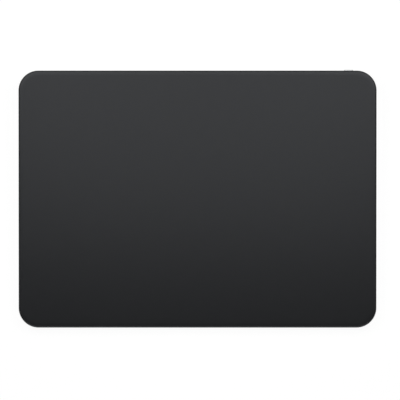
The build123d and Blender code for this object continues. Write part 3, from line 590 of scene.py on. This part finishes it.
def makeCoils(side):
    # Wire wound round a pole in one tight layer: along X the outer ring swells and shrinks
    # as half circles, one for each turn, and a plain inner ring is the bore
    node = "haptic_coils_" + side
    low, high = nodeBox(node)
    middle = (low + high) / 2
    halfDepth = (high[1] - low[1] - (coil["count"] - 1) * coil["pitch"]) / 2
    halfHeight = (high[2] - low[2]) / 2
    wire = (high[0] - low[0]) / coil["turns"] / 2
    turn = np.linspace(0, coil["turns"], coil["turns"] * coil["turnSteps"] + 1)
    part = turn % 1
    along = low[0] + wire * (2 * (turn - part) + 1 - np.cos(math.pi * part))
    inset = wire * (1 - np.sin(math.pi * part))
    steps = coil["cornerSteps"], coil["sideSteps"]
    outer = roundedRings(halfDepth - inset, halfHeight - inset, coil["cap"] - inset / 2, *steps)
    boreDepth, boreHeight = halfDepth - coil["winding"], halfHeight - coil["cap"]
    bore = roundedRings(boreDepth, boreHeight, coil["boreRadius"], *steps)
    sections = np.concatenate([outer, bore, bore])
    rings = np.empty((*sections.shape[:2], 3))
    rings[..., 0] = np.concatenate([along, [high[0], low[0]]])[:, None]
    rings[..., 1:] = middle[1:] + sections
    aside = (np.arange(coil["count"]) - (coil["count"] - 1) / 2) * coil["pitch"]
    surfaces = [ringSurface(rings + [0, shift, 0], "joined") for shift in aside]
    piece = makePiece("windings" + side.title(), surfaces, "coil_copper", node)
    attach(piece, "housing")


print("haptic coils")
for side in ("left", "right"):
    makeCoils(side)


# Battery pouches

pouch = {
    "sealDepth": 3.0 * mm,
    "sealThickness": 0.4 * mm,
    "sealRadius": 0.2 * mm,
    "edge": 0.8 * mm,
    "crown": 0.22 * mm,
    "crownShare": 0.35,
    "cornerRadius": 1.6 * mm,
    "leastRadius": 0.3 * mm,
    "edgeSteps": 8,
    "cornerSteps": 8,
    "sideSteps": 10,
    "sealCornerSteps": 3,
    "sealSideSteps": 6,
}


def pouchBody(low, high):
    # Rings that grow by a quarter circle at the lower edge, shrink by one at the upper edge,
    # and close over a slightly crowned top
    half = (high[:2] - low[:2] - [0, pouch["sealDepth"]]) / 2
    edge, crown = pouch["edge"], pouch["crown"]
    top = high[2] - crown
    turn = np.linspace(0, math.pi / 2, pouch["edgeSteps"])
    share = np.linspace(0, 1, pouch["edgeSteps"])[1:]
    shrinking, growing = edge * (1 - np.sin(turn)), edge * (1 - np.cos(turn))
    inner = edge + share * pouch["crownShare"] * half.min()
    inset = np.concatenate([shrinking, growing, inner])
    crowning = top + crown * np.sin(share * math.pi / 2)
    height = np.concatenate([low[2] + growing, top - shrinking, crowning])
    radius = np.maximum(pouch["cornerRadius"] - inset, pouch["leastRadius"])
    steps = pouch["cornerSteps"], pouch["sideSteps"]
    plan = low[:2] + half + roundedRings(half[0] - inset, half[1] - inset, radius, *steps)
    return ringSurface(withHeight(plan, height[:, None]), "closed")


def pouchSeal(low, high):
    # Behind it the bag is sealed flat: a plate at half height that reaches under its edge
    halfWidth = (high[0] - low[0]) / 2
    halfDepth = (pouch["sealDepth"] + pouch["edge"]) / 2
    middle = (low[2] + high[2]) / 2
    steps = pouch["sealCornerSteps"], pouch["sealSideSteps"]
    plan = roundedRings(halfWidth - pouch["edge"], halfDepth, pouch["sealRadius"], *steps)
    plan = [low[0] + halfWidth, high[1] - halfDepth] + np.repeat(plan, 2, 0)
    height = middle + pouch["sealThickness"] / 2 * np.array([-1, 1])
    return ringSurface(withHeight(plan, height[:, None]), "closed")


print("battery pouches")
for side in ("left", "right"):
    node = "battery_cell_" + side
    low, high = nodeBox(node)
    surfaces = [pouchBody(low, high), pouchSeal(low, high)]
    piece = makePiece("pouch" + side.title(), surfaces, "battery_wrap", node)
    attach(piece, "housing")


# Touch ribbon

ribbon = {
    "width": 6.0 * mm,
    "thickness": 0.15 * mm,
    "bend": 0.9 * mm,
    "lowerLength": 5.3 * mm,
    "upperLength": 3.4 * mm,
    "pressTravel": 0.25 * mm,
    "bendSteps": 10,
}


def ribbonPath(front, low, high):
    # The line of the flat cable seen from the side, as y and z: forward along the plug on
    # the board, up round a quarter circle at each corner, and back to the plug above
    bend = ribbon["bend"]
    turn = np.linspace(0, math.pi / 2, ribbon["bendSteps"])
    first = np.stack([front + bend - bend * np.sin(turn), low + bend - bend * np.cos(turn)], 1)
    second = np.stack([front + bend - bend * np.cos(turn), high - bend + bend * np.sin(turn)], 1)
    start = (front + ribbon["lowerLength"], low)
    end = (front + ribbon["upperLength"], high)
    return np.concatenate([[start], first, second, [end]])


def makeTouchRibbon():
    # The path drawn out sideways: at each point half the thickness goes to both sides, along
    # the normal of the path, and half the width to the left and right
    low, high = nodeBox("touch_ribbon")
    half = ribbon["thickness"] / 2
    path = ribbonPath(low[1] + half, low[2] + half, high[2] - half)
    along = np.gradient(path, axis=0)
    along /= np.linalg.norm(along, axis=1)[:, None]
    normal = np.stack([-along[:, 1], along[:, 0]], 1)
    rings = np.empty((len(path), 4, 3))
    rings[..., 0] = ribbon["width"] / 2 * np.array([-1, 1, 1, -1])
    rings[..., 1:] = path[:, None] + half * np.array([1, 1, -1, -1])[:, None] * normal[:, None]
    surfaces = [ringSurface(rings, "closed")]
    piece = makePiece("touchRibbon", surfaces, "ribbon_film", "touch_ribbon", smooth=False)
    piece.data.materials[0] = trackFilm
    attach(piece, "housing")
    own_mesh(piece)


print("touch ribbon")
makeTouchRibbon()


# Studio

studio = {
    "floorRadius": 9.0,
    "floorSteps": 96,
    "innerShare": 0.1,
    "floorColour": (0.9, 0.9, 0.9, 1),
    "shadowShare": 0.08,
    "shadowGain": 1.35,
    "glowStart": 0.12,
    "glowEnd": 0.6,
    "worldStrength": 0.08,
    "lens": 800.0,
    "clipEnd": 20.0,
    "pixelsPerMetre": 2237.5,
    "photoSize": 400,
    "objectPixel": (197.54, 199.2),
}
lamps = {
    "rearSoftboxLeft": {"place": (-0.172, 0.148, 0.285), "size": (0.30, 0.25), "power": 0.48},
    "rearSoftboxRight": {"place": (0.172, 0.148, 0.285), "size": (0.30, 0.25), "power": 0.48},
    "frontFill": {"place": (0, -0.45, 0.30), "size": (0.8, 0.15), "power": 1.0},
    "overheadSoftbox": {"place": (0, 0.035, 0.17), "size": (0.21, 0.15), "power": 0.09},
}


def whiteForViewer(tree):
    # One for camera, glossy and transmission rays, which show the background, and else zero
    rays = addNode(tree, "ShaderNodeLightPath").outputs
    either = maths(tree, "MAXIMUM", rays["Is Camera Ray"], rays["Is Glossy Ray"])
    return maths(tree, "MAXIMUM", either, rays["Is Transmission Ray"])


def paleFloor():
    # The viewer sees a white glow plus a small share of the lit floor, which holds the
    # shadow. The glow grows with the distance from the middle to make up for the lamps' fall.
    material, tree, shader = newMaterial("paleFloor")
    share = studio["shadowShare"]
    tone = share * studio["shadowGain"]
    far = addNode(tree, "ShaderNodeVectorMath", {0: objectPlace(tree)}, operation="LENGTH")
    glow = mapped(tree, far.outputs["Value"], studio["glowStart"], studio["glowEnd"], 1 - share, 1.0)
    emission = addNode(tree, "ShaderNodeEmission", {"Strength": glow}).outputs[0]
    seen = addNode(tree, "ShaderNodeBsdfDiffuse", {"Color": (tone, tone, tone, 1)}).outputs[0]
    both = addNode(tree, "ShaderNodeAddShader", {0: emission, 1: seen}).outputs[0]
    lit = addNode(tree, "ShaderNodeBsdfDiffuse", {"Color": studio["floorColour"]}).outputs[0]
    mix = addNode(tree, "ShaderNodeMixShader", {0: whiteForViewer(tree), 1: lit, 2: both})
    tree.nodes.remove(shader)
    tree.links.new(mix.outputs[0], tree.nodes["Material Output"].inputs["Surface"])
    return material


def makeFloor():
    # A flat disc: an outer and an inner ring joined by quads, and one face inside, all up
    steps = studio["floorSteps"]
    radii = studio["floorRadius"] * np.array([1.0, studio["innerShare"]])
    vertices, faces = ringSurface(withHeight(circleRings(0, 0, radii, steps), 0.0), "open")
    faces.append(np.arange(steps, 2 * steps)[None])
    floor = makeMesh("studioFloor", [(vertices, faces)], paleFloor(), smooth=False)


def makeWorld():
    # A dim white sky that the camera alone sees at full strength
    world = bpy.data.worlds.new("studioWorld")
    bpy.context.scene.world = world
    world.use_nodes = True
    tree = world.node_tree
    rays = addNode(tree, "ShaderNodeLightPath").outputs
    level = mapped(tree, rays["Is Camera Ray"], 0.0, 1.0, studio["worldStrength"], 1.0)
    tree.links.new(level, tree.nodes["Background"].inputs["Strength"])
    tree.nodes["Background"].inputs["Color"].default_value = (1, 1, 1, 1)


def makeLamp(name, place, size, power):
    # A soft rectangle that faces the object
    lamp = bpy.data.lights.new(name, "AREA")
    lamp.shape = "RECTANGLE"
    lamp.size, lamp.size_y = size
    lamp.energy = power
    holder = bpy.data.objects.new(name, lamp)
    holder.location = place
    holder.rotation_euler = (-Vector(place)).to_track_quat("-Z", "Y").to_euler()
    bpy.context.scene.collection.objects.link(holder)


def makeCamera():
    # Straight down from far off, so that the picture has almost no perspective
    camera = bpy.data.cameras.new("photoCamera")
    camera.lens = studio["lens"]
    camera.clip_end = studio["clipEnd"]
    middle = studio["photoSize"] / 2
    aside = (middle - studio["objectPixel"][0]) / studio["pixelsPerMetre"]
    ahead = (studio["objectPixel"][1] - middle) / studio["pixelsPerMetre"]
    frameWidth = studio["photoSize"] / studio["pixelsPerMetre"]
    distance = frameWidth * camera.lens / camera.sensor_width
    holder = bpy.data.objects.new("photoCamera", camera)
    holder.location = (aside, ahead, wedgeMiddle + distance)
    bpy.context.scene.collection.objects.link(holder)
    bpy.context.scene.camera = holder


print("studio")
makeFloor()
makeWorld()
for name, lamp in lamps.items():
    makeLamp(name, lamp["place"], lamp["size"], lamp["power"])
makeCamera()
bpy.context.scene.view_settings.view_transform = "Standard"
